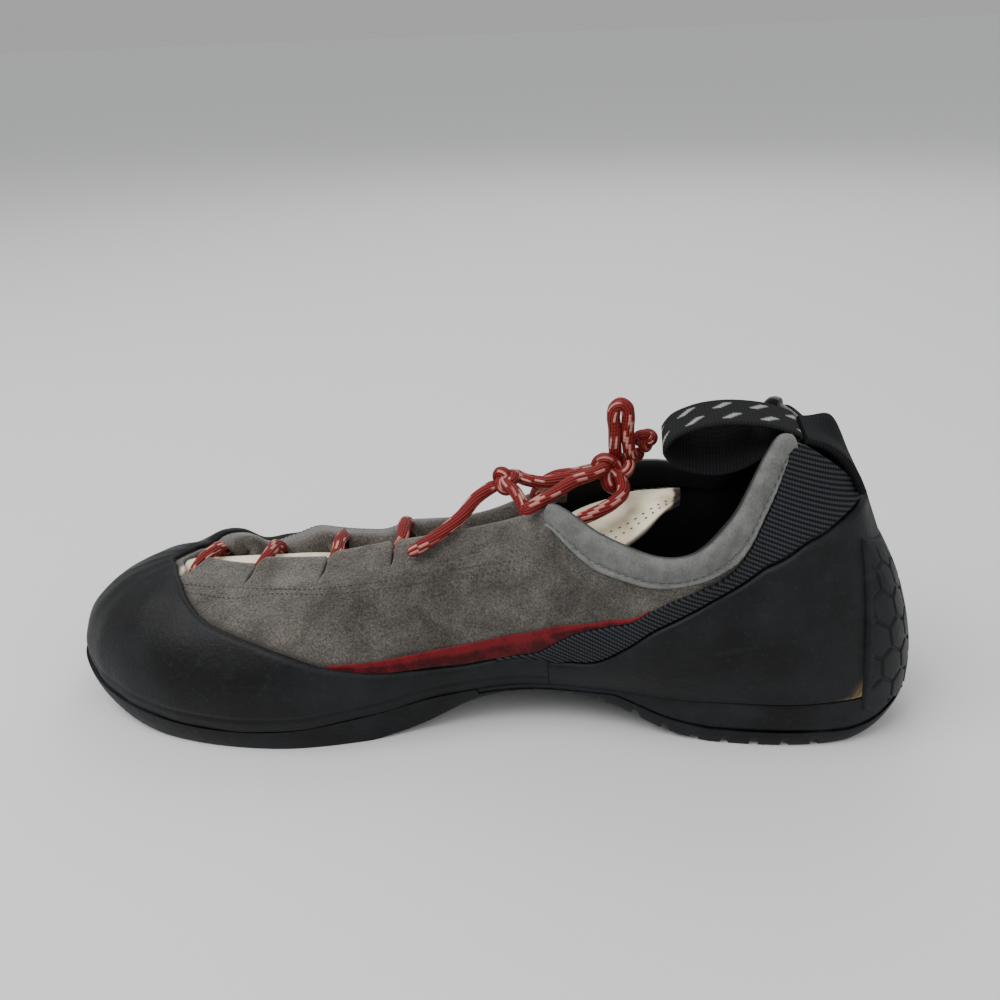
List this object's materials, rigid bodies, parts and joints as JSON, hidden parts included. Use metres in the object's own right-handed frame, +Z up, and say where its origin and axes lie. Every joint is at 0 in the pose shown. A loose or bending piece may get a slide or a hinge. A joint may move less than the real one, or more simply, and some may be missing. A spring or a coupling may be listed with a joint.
{
  "type": "approach shoe",
  "caption": "Low approach shoe with a climbing-style rubber rand, folded suede lace tabs, lugged rubber sole and a webbing pull loop.",
  "frame": {"origin": "on the floor, under the middle of the shoe's bounding box", "axes": "-X points out of the toe and +X out of the heel, -Y is the medial side of this right shoe, +Z is up from the floor"},
  "size_m": [0.2725, 0.0916, 0.1029],
  "materials": {
    "outsole_rubber": "matt black rubber, dusty",
    "wedge_rubber": "matt black foam rubber",
    "rand_rubber": "smooth matt black rubber",
    "grey_suede": "napped warm grey suede",
    "red_suede": "dark red suede with a frayed edge",
    "collar_tape": "cool grey suede tape",
    "cream_leather": "soft cream leather",
    "ribbed_elastic": "fine ribbed black elastic",
    "black_webbing": "woven black webbing",
    "red_cord": "braided red cord with pale flecks",
    "insole_fabric": "dark textile"
  },
  "bodies": {
    "root": {"outsole": "outsole_rubber", "midsole": "wedge_rubber", "insole": "insole_fabric", "upper": "grey_suede", "toe_rand": "rand_rubber", "heel_cup": "rand_rubber", "heel_elastic_medial": "ribbed_elastic", "heel_elastic_lateral": "ribbed_elastic", "side_strip_medial": "red_suede", "side_strip_lateral": "red_suede", "collar_binding_medial": "collar_tape", "collar_binding_lateral": "collar_tape", "lace_tab_medial_1": "grey_suede", "lace_tab_medial_2": "grey_suede", "lace_tab_medial_3": "grey_suede", "lace_tab_medial_4": "grey_suede", "lace_tab_lateral_1": "grey_suede", "lace_tab_lateral_2": "grey_suede", "lace_tab_lateral_3": "grey_suede", "lace_tab_lateral_4": "grey_suede", "tongue": "cream_leather", "pull_strap": "black_webbing", "pull_loop": "black_webbing", "lace_crossings": "red_cord", "lace_knot_front": "red_cord", "lace_knot_main": "red_cord", "lace_knot_back": "red_cord", "lace_run": "red_cord", "lace_loop": "red_cord", "lace_strand_back": "red_cord", "lace_end_low": "red_cord", "lace_end_front": "red_cord", "lace_end_top": "red_cord"}
  },
  "joints": []
}
